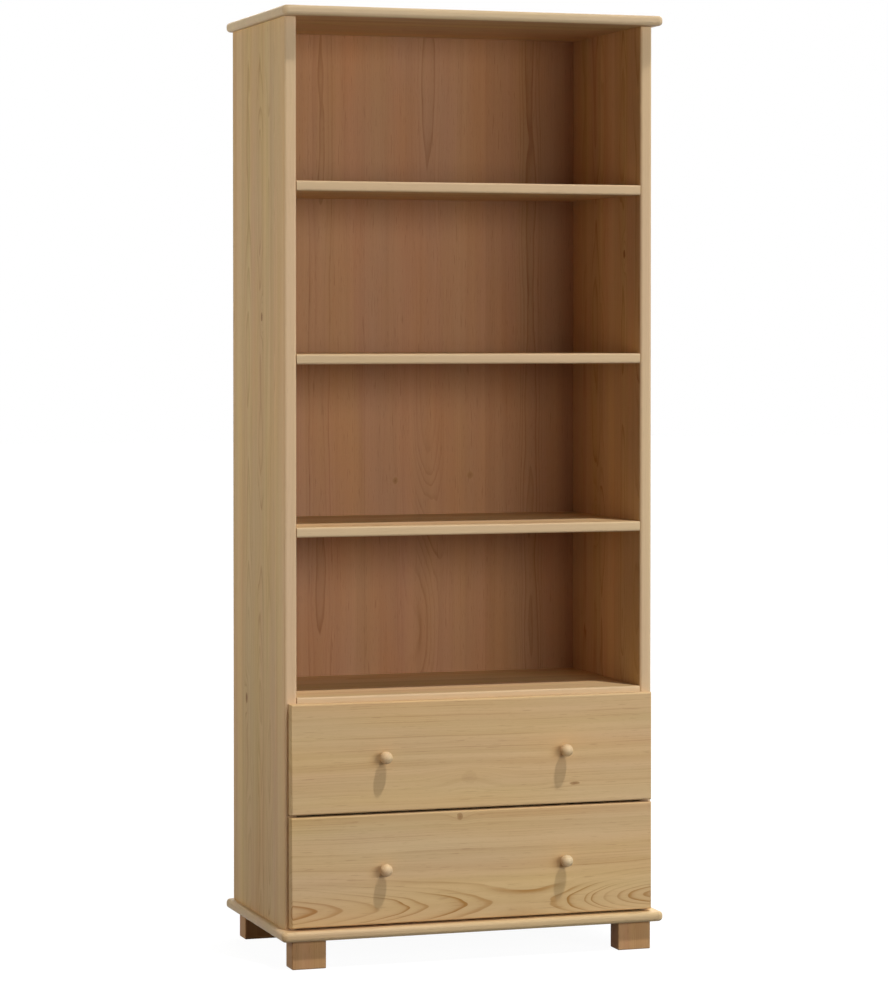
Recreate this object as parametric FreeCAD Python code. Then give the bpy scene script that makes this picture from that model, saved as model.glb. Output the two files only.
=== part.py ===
import FreeCAD, Part
import math
import os

V = FreeCAD.Vector
X_AXIS = V(1, 0, 0)
Y_AXIS = V(0, 1, 0)
Z_AXIS = V(0, 0, 1)

# A tall pine bookcase: four open compartments over two drawers, on block feet.
# Millimetres. X runs left to right, Y front to back, Z up from the floor.
# The origin is on the floor, at the middle of the width and of the whole depth.

# Case
overall_width = 805.0           # over the base board, the widest piece
top_setback = 2.5               # top board's ends short of the base board's
case_height = 1800.0            # side panels, from base board to top board
side_depth = 400.0
side_thickness = 25.0
side_overhang = 14.5            # base board past each side panel
front_overhang = 36.0           # top and base boards past the side panels' front
board_thickness = 20.0          # top board and base board
shelf_thickness = 20.0
shelf_count = 3
side_arris = 6.0                # rounding of the side panels' long edges
shelf_arris = 4.0
nose_radius = 8.0               # rounding of the top and base boards' edges
corner_radius = 12.0            # front corners of those boards, seen from above

# Feet
foot_width = 70.0
foot_depth = 45.0
foot_height = 57.0
foot_side_inset = 9.0           # from the side panel's outer face
foot_edge_inset = 17.0          # from the base board's front or rear edge
foot_arris = 2.5

# Back panel, nailed into rebates
back_thickness = 4.0
rebate_depth = 10.0
rebate_width = 10.0
back_play = 0.5                 # round the panel's edges
nail_diameter = 1.8
nail_length = 22.0
nail_head_diameter = 4.0
nail_head_height = 0.6
nails_per_side = 7
nails_per_shelf = 2

# Drawers
drawer_front_height = 219.0
drawer_front_thickness = 20.0
drawer_front_inset = 7.0        # each end, from the side panel's outer face
drawer_front_arris = 4.0
drawer_gap = 4.5                # under and between the fronts
front_standoff = 0.5            # closed front to the case's front edges
bay_reveal = 11.5               # bay board showing above the upper front
bay_raise = 6.0                 # takes from the lowest compartment's height
box_lift = 15.0                 # box bottom above the front's lower edge
box_headroom = 44.0             # box top below the front's upper edge
box_wall = 15.0
box_rear_space = 30.5           # behind the closed drawer
bottom_thickness = 4.0
groove_height = 10.0            # groove above the box's lower edge
groove_depth = 6.0
groove_play = 0.1               # above and below the drawer bottom

# Knobs
knob_projection = 30.0
knob_head_diameter = 25.0
knob_neck_diameter = 12.0
knob_foot_diameter = 15.0
knob_neck_length = 8.0
knob_screw_grip = 14.0          # how far its screw goes into the knob

# Wooden dowels
dowel_diameter = 8.0
dowel_length = 34.0
dowel_face_depth = 12.0         # in the face of a board; the rest is in an edge
dowel_edge_inset = 55.0
box_dowel_diameter = 6.0
box_dowel_length = 28.0
box_dowel_face_depth = 9.0
box_dowel_inset = 32.0

# Screws
wood_screw_diameter = 5.0
wood_screw_length = 55.0
wood_screw_head = 9.5           # countersunk
foot_screw_spread = 34.0
foot_screw_length = 58.0
small_screw_diameter = 3.5
small_screw_length = 12.0
small_screw_head = 7.0          # flat pan head
small_screw_head_height = 1.1
slide_screw_height = 5.5        # above the drawer box's lower edge
front_screw_length = 27.0
front_screw_inset = 60.0
front_screw_height = 40.0       # from the box's lower and upper edges
pan_head_diameter = 8.0
pan_head_height = 2.0
knob_screw_diameter = 4.0

# Roller runners: a channel on the case and a slide on the drawer
runner_space = 12.5             # between drawer box and side panel
steel = 1.2
channel_reach = 10.2            # flange width of the channel
slide_ledge = 10.0              # slide's ledge under the drawer side
slide_flange_reach = 8.8
runner_setback = 3.0            # behind the case's front edges
runner_rear_margin = 6.5        # in front of the box's rear end
roller_diameter = 20.2
roller_width = 6.0
roller_edge = 0.6               # bevel of its rims
roller_play = 0.3               # rolling gap
roller_inset = 14.0             # axle from the runner's end
pin_diameter = 6.0
pin_play = 0.05
pin_head_diameter = 9.0
pin_head_height = 0.8
case_pin_rise = 3.3             # front axle above the rear axle
slide_roller_gap = 1.2          # from the slide's web to its roller
case_roller_gap = 1.1           # from the channel's web to its roller
roller_pocket = 28.0            # channel's upper flange cut away over the roller
drawer_travel = 260.0
stop_reach = 5.0
stop_height = 8.0
stop_thickness = 1.5
runner_screw_inset = 45.0

# Places that follow from the sizes above
board_half = overall_width / 2
body_half = board_half - side_overhang
inner_half = body_half - side_thickness
front_reach = front_standoff + drawer_front_thickness + knob_projection
front_y = (front_reach - side_depth) / 2
rear_y = front_y + side_depth
back_y = rear_y - rebate_depth
board_front_y = front_y - front_overhang
base_top = foot_height + board_thickness
top_under = base_top + case_height
front_pitch = drawer_front_height + drawer_gap
lower_front_z = base_top + drawer_gap
upper_front_z = lower_front_z + front_pitch
bay_top = upper_front_z + drawer_front_height + bay_reveal
shelf_clear = (top_under - bay_top + bay_raise - shelf_count * shelf_thickness) / (shelf_count + 1)
shelf_pitch = shelf_clear + shelf_thickness
box_height = drawer_front_height - box_lift - box_headroom
box_front_y = front_y - front_standoff
box_rear_y = back_y - box_rear_space
box_half = inner_half - runner_space
front_half = body_half - drawer_front_inset
knob_x = front_half / 2
runner_front_y = front_y + runner_setback
runner_length = box_rear_y - runner_rear_margin - runner_front_y
front_roller_y = runner_front_y + roller_inset
rear_roller_y = runner_front_y + runner_length - roller_inset
channel_height = roller_diameter + 2 * roller_play + 2 * steel
dowel_rows = 3
SIDES = {"left": -1, "right": 1}


def block(low, high):
    """A box between two opposite corners."""
    size = [b - a for a, b in zip(low, high)]
    return Part.makeBox(size[0], size[1], size[2], V(*low))


def spread(first, last, count):
    """Evenly spaced places from first to last, both included."""
    step = (last - first) / (count - 1)
    return [first + step * i for i in range(count)]


def group(shapes):
    """Separate solids kept together in one node."""
    return Part.makeCompound(shapes)


def round_edges(shape, radius, wanted):
    """Round the edges for which wanted(edge) is true."""
    return shape.makeFillet(radius, [edge for edge in shape.Edges if wanted(edge)])


def runs_along(edge, axis):
    """True for a straight edge that lies along an axis."""
    if not isinstance(edge.Curve, Part.Line):
        return False
    return abs(edge.tangentAt(edge.FirstParameter).dot(axis)) > 0.999


def spindle(profile, place, direction):
    """Turn a closed profile of (radius, height) pairs or edges about its height axis."""
    if isinstance(profile[0], tuple):
        points = [V(radius, 0, height) for radius, height in profile]
        wire = Part.makePolygon(points + points[:1])
    else:
        wire = Part.Wire(profile)
    solid = Part.Face(wire).revolve(V(), Z_AXIS, 360)
    if not isinstance(solid, Part.Solid):
        solid = Part.Solid(solid) if isinstance(solid, Part.Shell) else solid.Solids[0]
    if solid.Volume < 0:
        solid.reverse()
    solid.Placement = FreeCAD.Placement(place, FreeCAD.Rotation(Z_AXIS, direction))
    return solid


def countersunk_screw(face, direction, length):
    """A screw whose flat head lies in the face; direction is the way it is driven."""
    shank = wood_screw_diameter / 2
    head = wood_screw_head / 2
    cone = head - shank
    profile = [(0, 0), (head, 0), (shank, cone), (shank, length - shank), (0, length)]
    return spindle(profile, face, direction)


def pan_screw(face, direction, diameter, length, head_diameter, head_height):
    """A screw whose flat round head stands on the face."""
    shank = diameter / 2
    head = head_diameter / 2
    profile = [(0, -head_height), (head, -head_height), (head, 0),
               (shank, 0), (shank, length), (0, length)]
    return spindle(profile, face, direction)


def small_screw(face, direction):
    """The short screw that holds runners to wood."""
    return pan_screw(face, direction, small_screw_diameter, small_screw_length,
                     small_screw_head, small_screw_head_height)


def nosed_board(low_z, half):
    """The top or base board: rounded front corners and a rounded nose on three edges."""
    high_z = low_z + board_thickness
    board = block((-half, board_front_y, low_z), (half, rear_y, high_z))
    board = round_edges(board, corner_radius,
                        lambda e: runs_along(e, Z_AXIS) and e.CenterOfMass.y < front_y)

    def on_nose(edge):
        level = abs(edge.BoundBox.ZMax - edge.BoundBox.ZMin) < 0.001
        return level and edge.BoundBox.YMin < rear_y - 0.001

    return round_edges(board, nose_radius, on_nose)


def side_panel(sign):
    """A side panel with rounded long edges and the rebate for the back panel."""
    inner, outer = sorted((sign * inner_half, sign * body_half))
    panel = block((inner, front_y, base_top), (outer, rear_y, top_under))

    def rounded(edge):
        if not runs_along(edge, Z_AXIS):
            return False
        place = edge.CenterOfMass
        return place.y < front_y + 1 or abs(place.x) > body_half - 1

    panel = round_edges(panel, side_arris, rounded)
    low, high = sorted((sign * (inner_half - 1), sign * (inner_half + rebate_width)))
    return panel.cut(block((low, back_y, base_top - 1), (high, rear_y + 1, top_under + 1)))


def shelf(low_z):
    """A shelf between the side panels, its front edges eased."""
    board = block((-inner_half, front_y, low_z),
                  (inner_half, back_y, low_z + shelf_thickness))
    return round_edges(board, shelf_arris,
                       lambda e: runs_along(e, X_AXIS) and e.CenterOfMass.y < front_y + 1)


def shelf_levels():
    """Underside heights of the drawer bay's board and the three shelves."""
    lowest = bay_top - bay_raise - shelf_thickness
    return [bay_top - shelf_thickness] + [lowest + shelf_pitch * i
                                          for i in range(1, shelf_count + 1)]


def foot_centres():
    """Name and centre of each foot."""
    x = body_half - foot_side_inset - foot_width / 2
    front = board_front_y + foot_edge_inset + foot_depth / 2
    rear = rear_y - foot_edge_inset - foot_depth / 2
    return {f"foot_{row}_{side}": (sign * x, y)
            for row, y in (("front", front), ("rear", rear))
            for side, sign in SIDES.items()}


def foot(centre):
    """A block foot, eased all round but for its upper face."""
    x, y = centre
    half_width, half_depth = foot_width / 2, foot_depth / 2
    solid = block((x - half_width, y - half_depth, 0), (x + half_width, y + half_depth, foot_height))
    return round_edges(solid, foot_arris, lambda e: e.CenterOfMass.z < foot_height - 0.001)


def foot_screws():
    """Two screws down through the base board into each foot."""
    half = foot_screw_spread / 2
    return [countersunk_screw(V(x + shift, y, base_top), -Z_AXIS, foot_screw_length)
            for x, y in foot_centres().values() for shift in (-half, half)]


def dowel(face, direction, diameter, length, face_depth):
    """A plain dowel: face_depth of it is in the board behind the face."""
    start = face - direction * face_depth
    return Part.makeCylinder(diameter / 2, length, start, direction)


def carcass_dowels():
    """Dowels that locate the side panels on the base board and under the top board."""
    x = body_half - side_thickness / 2
    rows = spread(front_y + dowel_edge_inset, rear_y - dowel_edge_inset, dowel_rows)
    ends = ((base_top, Z_AXIS), (top_under, -Z_AXIS))
    return [dowel(V(sign * x, y, z), way, dowel_diameter, dowel_length, dowel_face_depth)
            for sign in SIDES.values() for y in rows for z, way in ends]


def base_screws():
    """Screws up through the base board into the side panels, between the dowels."""
    x = body_half - side_thickness / 2
    rows = spread(front_y + dowel_edge_inset, rear_y - dowel_edge_inset, dowel_rows)
    places = [(a + b) / 2 for a, b in zip(rows, rows[1:])]
    return [countersunk_screw(V(sign * x, y, foot_height), Z_AXIS, wood_screw_length)
            for sign in SIDES.values() for y in places]


def shelf_dowels():
    """Two dowels in each end of each shelf and of the bay board."""
    rows = spread(front_y + dowel_edge_inset, back_y - dowel_edge_inset, 2)
    return [dowel(V(sign * inner_half, y, low_z + shelf_thickness / 2), -X_AXIS * sign,
                  dowel_diameter, dowel_length, dowel_face_depth)
            for low_z in shelf_levels() for sign in SIDES.values() for y in rows]


def back_panel():
    """The thin panel that closes the back, resting in the side panels' rebates."""
    half = inner_half + rebate_width - back_play
    return block((-half, back_y, base_top + back_play),
                 (half, back_y + back_thickness, top_under - back_play))


def back_nails():
    """Nails through the back panel into the side panels and the shelves."""
    x = inner_half + rebate_width / 2
    inset = shelf_pitch / 4
    places = [(sign * x, z) for sign in SIDES.values()
              for z in spread(base_top + inset, top_under - inset, nails_per_side)]
    places += [(shelf_x, low_z + shelf_thickness / 2) for low_z in shelf_levels()
               for shelf_x in spread(-inner_half / 3, inner_half / 3, nails_per_shelf)]
    face = back_y + back_thickness
    return [pan_screw(V(x, face, z), -Y_AXIS, nail_diameter, nail_length,
                      nail_head_diameter, nail_head_height) for x, z in places]


def roller(middle_x, y, z):
    """A nylon roller with a plain bore, its axis along X."""
    radius, half = roller_diameter / 2, roller_width / 2
    disc = Part.makeCylinder(radius, roller_width, V(middle_x - half, y, z), X_AXIS)
    rim = [edge for edge in disc.Edges if isinstance(edge.Curve, Part.Circle)]
    disc = disc.makeChamfer(roller_edge, rim)
    bore = pin_diameter / 2 + pin_play
    return disc.cut(Part.makeCylinder(bore, roller_width + 2, V(middle_x - half - 1, y, z), X_AXIS))


def rivet(face_x, y, z, length):
    """A roller's pin: it stands on a web at face_x, reaches towards +X and ends in a head."""
    pin = Part.makeCylinder(pin_diameter / 2, length + pin_head_height, V(face_x, y, z), X_AXIS)
    head = Part.makeCylinder(pin_head_diameter / 2, pin_head_height,
                             V(face_x + length, y, z), X_AXIS)
    return pin.fuse(head)


def handed(shape, sign):
    """The right-hand shape as it is, or mirrored for the left side."""
    return shape if sign > 0 else shape.mirror(V(), X_AXIS)


def axle_heights(box_z):
    """Heights of the rear axle, on the drawer, and of the front axle, on the case."""
    rear = box_z + roller_play + roller_diameter / 2
    return rear, rear + case_pin_rise


def case_roller_x():
    """Middle of a front roller's width, on the right side."""
    return inner_half - steel - case_roller_gap - roller_width / 2


def slide_roller_x():
    """Middle of a rear roller's width, on the right side."""
    return box_half + steel + slide_roller_gap + roller_width / 2


def channel(box_z):
    """The right-hand channel on the case: web, two flanges, roller pin and drawer stop."""
    low, high = box_z - steel, box_z - steel + channel_height
    near, web = inner_half - channel_reach, inner_half - steel
    outline = [(inner_half, low), (near, low), (near, low + steel), (web, low + steel),
               (web, high - steel), (near, high - steel), (near, high), (inner_half, high)]
    points = [V(x, runner_front_y, z) for x, z in outline]
    shape = Part.Face(Part.makePolygon(points + points[:1])).extrude(Y_AXIS * runner_length)
    pocket_end = runner_front_y + roller_pocket
    shape = shape.cut(block((near - 1, runner_front_y - 1, high - steel),
                            (web, pocket_end, high + 1)))
    rear_axle, front_axle = axle_heights(box_z)
    pin_length = case_roller_gap + roller_width + roller_play
    pin = rivet(0, front_roller_y, front_axle, pin_length)
    pin = pin.mirror(V(), X_AXIS)
    pin.translate(V(web, 0, 0))
    stop_y = rear_roller_y - drawer_travel - roller_diameter / 2 - roller_play
    stop = block((web - stop_reach, stop_y - stop_thickness, rear_axle - stop_height / 2),
                 (web, stop_y, rear_axle + stop_height / 2))
    return shape.fuse([pin, stop]).removeSplitter()


def slide(box_z):
    """The right-hand slide on the drawer: ledge, web, outward flange and roller pin."""
    low = box_z - steel
    rear_axle, front_axle = axle_heights(box_z)
    flange = front_axle + roller_diameter / 2 + roller_play
    outer = box_half + steel
    reach = outer + slide_flange_reach
    outline = [(box_half - slide_ledge, low), (outer, low), (outer, flange), (reach, flange),
               (reach, flange + steel), (box_half, flange + steel), (box_half, box_z),
               (box_half - slide_ledge, box_z)]
    points = [V(x, runner_front_y, z) for x, z in outline]
    shape = Part.Face(Part.makePolygon(points + points[:1])).extrude(Y_AXIS * runner_length)
    pin = rivet(outer, rear_roller_y, rear_axle, slide_roller_gap + roller_width + roller_play)
    return shape.fuse(pin).removeSplitter()


def runner_screw_rows():
    """Where along the runner its two screws are."""
    first = runner_front_y + runner_screw_inset
    return [first, runner_front_y + runner_length - runner_screw_inset]


def channel_screws(sign):
    """Screws from both channels on one side into that side panel."""
    web = inner_half - steel
    return [small_screw(V(sign * web, y, axle_heights(box_z)[0]), X_AXIS * sign)
            for box_z in box_levels().values() for y in runner_screw_rows()]


def slide_screws(box_z, sign):
    """Screws from one slide into the drawer side beside it."""
    outer = box_half + steel
    return [small_screw(V(sign * outer, y, box_z + slide_screw_height), -X_AXIS * sign)
            for y in runner_screw_rows()]


def box_levels():
    """Lower edge of each drawer box."""
    return {"lower": lower_front_z + box_lift, "upper": upper_front_z + box_lift}


def knob(centre):
    """A turned knob on the drawer front: a waisted neck, a ball head, a hole for its screw."""
    bore, foot_radius = knob_screw_diameter / 2, knob_foot_diameter / 2
    neck, head = knob_neck_diameter / 2, knob_head_diameter / 2
    widest = knob_projection - head
    collar = (neck + foot_radius) / 2
    swell_rise, swell_out = widest - knob_neck_length, head - collar
    swell_radius = (swell_rise ** 2 + swell_out ** 2) / (2 * swell_out)
    half_turn = math.atan2(swell_rise, swell_radius - swell_out) / 2
    swell = V(head - swell_radius * (1 - math.cos(half_turn)), 0,
              widest - swell_radius * math.sin(half_turn))
    half_right = math.radians(45)
    brow = V(head * math.cos(half_right), 0, widest + head * math.sin(half_right))
    rim, foot_end = V(bore, 0, 0), V(foot_radius, 0, 0)
    waist, neck_end = V(neck, 0, knob_neck_length / 2), V(collar, 0, knob_neck_length)
    ring, crown = V(head, 0, widest), V(0, 0, knob_projection)
    hole_end, hole_edge = V(0, 0, knob_screw_grip), V(bore, 0, knob_screw_grip)
    edges = [Part.LineSegment(rim, foot_end).toShape(),
             Part.Arc(foot_end, waist, neck_end).toShape(),
             Part.Arc(neck_end, swell, ring).toShape(),
             Part.Arc(ring, brow, crown).toShape(),
             Part.LineSegment(crown, hole_end).toShape(),
             Part.LineSegment(hole_end, hole_edge).toShape(),
             Part.LineSegment(hole_edge, rim).toShape()]
    return spindle(edges, centre, -Y_AXIS)


def drawer(name, front_z):
    """Every piece of one drawer, by node name."""
    low, high = front_z + box_lift, front_z + box_lift + box_height
    face_y = box_front_y - drawer_front_thickness
    inner_y = box_front_y + box_wall
    inner_x = box_half - box_wall

    front = block((-front_half, face_y, front_z),
                  (front_half, box_front_y, front_z + drawer_front_height))
    front = round_edges(front, drawer_front_arris, lambda e: e.BoundBox.YMax < face_y + 0.001)
    inner_front = block((-inner_x, box_front_y, low), (inner_x, inner_y, high))
    back = block((-inner_x, box_rear_y - box_wall, low), (inner_x, box_rear_y, high))
    walls = {side: block(*zip(*(sorted(pair) for pair in (
        (sign * inner_x, sign * box_half), (box_front_y, box_rear_y), (low, high)))))
        for side, sign in SIDES.items()}

    floor_low = low + groove_height
    floor_half = inner_x + groove_depth
    floor_front, floor_rear = inner_y - groove_depth, box_rear_y - box_wall + groove_depth
    bottom = block((-floor_half, floor_front, floor_low),
                   (floor_half, floor_rear, floor_low + bottom_thickness))
    groove = block((-floor_half, floor_front, floor_low - groove_play),
                   (floor_half, floor_rear, floor_low + bottom_thickness + groove_play))

    knob_z = front_z + drawer_front_height / 2
    knob_screw_length = box_wall + drawer_front_thickness + knob_screw_grip
    knob_screws = [pan_screw(V(sign * knob_x, inner_y, knob_z), -Y_AXIS, knob_screw_diameter,
                             knob_screw_length, pan_head_diameter, pan_head_height)
                   for sign in SIDES.values()]
    front_screws = [pan_screw(V(sign * (inner_x - front_screw_inset), inner_y, z), -Y_AXIS,
                              knob_screw_diameter, front_screw_length,
                              pan_head_diameter, pan_head_height)
                    for sign in SIDES.values()
                    for z in (low + front_screw_height, high - front_screw_height)]
    dowels = [dowel(V(sign * inner_x, y, z), -X_AXIS * sign, box_dowel_diameter,
                    box_dowel_length, box_dowel_face_depth)
              for sign in SIDES.values()
              for y in (box_front_y + box_wall / 2, box_rear_y - box_wall / 2)
              for z in (low + box_dowel_inset, high - box_dowel_inset)]

    pieces = {"front": front.cut(knob_screws + front_screws),
              "inner_front": inner_front.cut(knob_screws + front_screws + dowels + [groove]),
              "back": back.cut(dowels + [groove]),
              "bottom": bottom,
              "knob_screws": group(knob_screws),
              "front_screws": group(front_screws),
              "dowels": group(dowels),
              "slide_screws": group([screw for sign in SIDES.values()
                                     for screw in slide_screws(low, sign)])}
    rear_axle = axle_heights(low)[0]
    for side, sign in SIDES.items():
        screws = slide_screws(low, sign)
        wall = walls[side].cut(dowels + screws + [groove])
        pieces[f"{side}_side"] = wall
        pieces[f"slide_{side}"] = handed(slide(low), sign).cut(screws)
        pieces[f"rear_roller_{side}"] = roller(sign * slide_roller_x(), rear_roller_y, rear_axle)
        knob_place = V(sign * knob_x, face_y, knob_z)
        pieces[f"knob_{side}"] = knob(knob_place)
    return {f"{name}_drawer_{piece}": shape for piece, shape in pieces.items()}


def case():
    """Every piece of the fixed case, by node name, with the holes for its fasteners."""
    dowels, pegs = carcass_dowels(), shelf_dowels()
    up_screws, down_screws = base_screws(), foot_screws()
    nails = back_nails()
    pieces = {"top_board": nosed_board(top_under, board_half - top_setback).cut(dowels),
              "base_board": nosed_board(foot_height, board_half).cut(dowels + up_screws + down_screws),
              "back_panel": back_panel().cut(nails),
              "carcass_dowels": group(dowels),
              "shelf_dowels": group(pegs),
              "base_screws": group(up_screws),
              "foot_screws": group(down_screws),
              "back_nails": group(nails)}
    for node, centre in foot_centres().items():
        pieces[node] = foot(centre).cut(down_screws)
    names = ["drawer_bay_board", "shelf_lower", "shelf_middle", "shelf_upper"]
    for node, low_z in zip(names, shelf_levels()):
        pieces[node] = shelf(low_z).cut(pegs + nails)
    runner_screws = []
    for side, sign in SIDES.items():
        screws = channel_screws(sign)
        runner_screws += screws
        panel = side_panel(sign)
        pieces[f"{side}_side_panel"] = panel.cut(dowels + pegs + up_screws + nails + screws)
        for level, box_z in box_levels().items():
            pieces[f"{level}_runner_{side}"] = handed(channel(box_z), sign).cut(screws)
            front_axle = axle_heights(box_z)[1]
            pieces[f"{level}_front_roller_{side}"] = roller(sign * case_roller_x(),
                                                            front_roller_y, front_axle)
    pieces["runner_screws"] = group(runner_screws)
    return pieces


def main():
    """Build every node and write one STEP file for each."""
    nodes = case()
    nodes.update(drawer("upper", upper_front_z))
    nodes.update(drawer("lower", lower_front_z))
    os.makedirs("parts", exist_ok=True)
    for node, shape in sorted(nodes.items()):
        shape.exportStep(f"parts/{node}.step")
    print(len(nodes), "nodes;", "height", top_under + board_thickness,
          "width", overall_width, "depth", side_depth + front_reach)
    for level, box_z in box_levels().items():
        rear_axle, front_axle = axle_heights(box_z)
        print(level, "front axle", front_roller_y, front_axle, "rear axle", rear_roller_y, rear_axle)


main()
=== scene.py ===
# %% [markdown]
# # A pine bookcase with two drawers
#
# The bookcase is already built and measured: its boards, runners and screws arrive here as
# fixed nodes, in metres, with the floor at z = 0 and the front towards -y. This lesson gives
# it its looks. It rebuilds the boards with the softened edges that a joiner leaves, grows
# pine figure through them, turns the knobs and rollers, sets the screws and nails, and
# finishes the steel and the nylon.

# %% Load the measured parts
import math

import bmesh
import bpy
import numpy as np
from mathutils import Matrix, Vector


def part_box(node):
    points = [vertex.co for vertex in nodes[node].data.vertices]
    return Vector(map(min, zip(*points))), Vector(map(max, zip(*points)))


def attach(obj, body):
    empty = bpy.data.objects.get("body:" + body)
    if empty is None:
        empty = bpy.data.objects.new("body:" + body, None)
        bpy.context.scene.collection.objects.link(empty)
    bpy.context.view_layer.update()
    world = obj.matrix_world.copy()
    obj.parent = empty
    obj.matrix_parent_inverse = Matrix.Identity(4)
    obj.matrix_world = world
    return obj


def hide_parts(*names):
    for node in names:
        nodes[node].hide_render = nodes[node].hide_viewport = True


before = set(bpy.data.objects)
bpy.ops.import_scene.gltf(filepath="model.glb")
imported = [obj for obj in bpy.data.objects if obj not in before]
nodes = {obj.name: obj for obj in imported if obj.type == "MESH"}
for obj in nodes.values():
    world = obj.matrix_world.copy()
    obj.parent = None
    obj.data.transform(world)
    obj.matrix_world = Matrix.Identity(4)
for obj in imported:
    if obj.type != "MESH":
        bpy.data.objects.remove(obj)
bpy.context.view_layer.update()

# %% [markdown]
# ## A short way to write node trees
#
# A wood finish needs well over a hundred nodes. Written one by one they would hide the idea,
# so a small class adds a node, wires what it is given into its sockets, and hands back an
# output. The same class serves for materials and for Geometry Nodes, where most nodes are
# shared.

# %% The wiring helper
class Wiring:
    """Adds nodes to one tree. A socket is wired in, and any other value is set."""

    def __init__(self, tree):
        self.tree = tree

    def node(self, kind, inputs=None, **settings):
        made = self.tree.nodes.new(kind)
        for name, value in settings.items():
            setattr(made, name, value)
        self.fill(made.inputs, inputs or {})
        return made

    def fill(self, sockets, values):
        for key, value in values.items():
            if isinstance(value, bpy.types.NodeSocket):
                self.tree.links.new(value, sockets[key])
            else:
                sockets[key].default_value = value

    def math(self, operation, *values, clamp=False):
        return self.node("ShaderNodeMath", dict(enumerate(values)), operation=operation,
                         use_clamp=clamp).outputs[0]

    def minus(self, first, second):
        return self.math("SUBTRACT", first, second)

    def over(self, first, second):
        return self.math("DIVIDE", first, second)

    def scaled(self, value, factor, offset):
        return self.math("MULTIPLY_ADD", value, factor, offset)

    def swing(self, value, width):
        """A 0 to 1 value turned into one that swings about zero by half of width."""
        return self.scaled(value, width, -width / 2)

    def chain(self, operation, values):
        result = values[0]
        for value in values[1:]:
            result = self.math(operation, result, value)
        return result

    def total(self, *values):
        return self.chain("ADD", values)

    def times(self, *values):
        return self.chain("MULTIPLY", values)

    def length(self, first, second):
        """The distance that two parts at right angles make."""
        return self.math("SQRT", self.total(self.times(first, first),
                                            self.times(second, second)))

    def step(self, value, start, end, low=0.0, high=1.0):
        """A smooth step from low at start to high at end."""
        return self.node("ShaderNodeMapRange", {
            "Value": value, "From Min": start, "From Max": end, "To Min": low,
            "To Max": high}, interpolation_type="SMOOTHSTEP").outputs["Result"]

    def place(self):
        return self.node("ShaderNodeTexCoord").outputs["Object"]

    def parts(self, vector):
        return self.node("ShaderNodeSeparateXYZ", {0: vector}).outputs

    def vector(self, *values):
        return self.node("ShaderNodeCombineXYZ", dict(enumerate(values))).outputs[0]

    def stretched(self, values, scales):
        """A vector whose three parts are scaled each by its own number."""
        return self.vector(*(self.times(*pair) for pair in zip(values, scales)))

    def noise(self, vector, scale=1.0, detail=2.0, roughness=0.5, dimensions="3D"):
        key = "W" if dimensions == "1D" else "Vector"
        return self.node("ShaderNodeTexNoise", {
            key: vector, "Scale": scale, "Detail": detail, "Roughness": roughness},
            noise_dimensions=dimensions).outputs["Fac"]

    def blend(self, factor, first, second, kind="MIX"):
        return self.node("ShaderNodeMix", {0: factor, 6: first, 7: second},
                         data_type="RGBA", blend_type=kind).outputs[2]


def new_group(name, family, inputs, outputs):
    """A node group of a family, "Shader" or "Geometry", with its sockets and its end nodes."""
    tree = bpy.data.node_groups.new(name, f"{family}NodeTree")
    for way, sockets in (("INPUT", inputs), ("OUTPUT", outputs)):
        for socket, kind in sockets.items():
            tree.interface.new_socket(socket, in_out=way, socket_type=f"NodeSocket{kind}")
    given, result = tree.nodes.new("NodeGroupInput"), tree.nodes.new("NodeGroupOutput")
    return tree, Wiring(tree), given.outputs, result.inputs


def linear(red, green, blue):
    """A colour given as 0 to 255 screen values, in the linear values that shaders use."""
    def convert(value):
        share = value / 255
        return share / 12.92 if share <= 0.04045 else ((share + 0.055) / 1.055) ** 2.4
    return (convert(red), convert(green), convert(blue), 1.0)


print("a mid grey of 128 is", round(linear(128, 128, 128)[0], 3), "in linear light")

# %% [markdown]
# ## How pine gets its figure
#
# A tree is a stack of cones: rings about a pith, a little wider at the foot. A board is a
# cut through them, and its figure is only where that cut meets the rings. So the shader
# works out, for each point, how far it lies from the pith of its own stave, and turns that
# distance into rings of pale early wood and dark late wood. The pith wanders and the rings
# swell, which draws the arches and the straight lines of real boards on any face, and end
# grain on the ends. An image would need unwrapping and could not turn the corner.
#
# The numbers in the group are a maker's settings, in metres or as shares of the whole. The
# three helpers inside it name what they are for: noise along the grain, a slow wave of one
# stave, and noise from ring to ring.

# %% The pine group
SEED_SHIFT = 0.0137     # how far one seed moves the staves across the board
GLUE_LINE = 0.0004


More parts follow.
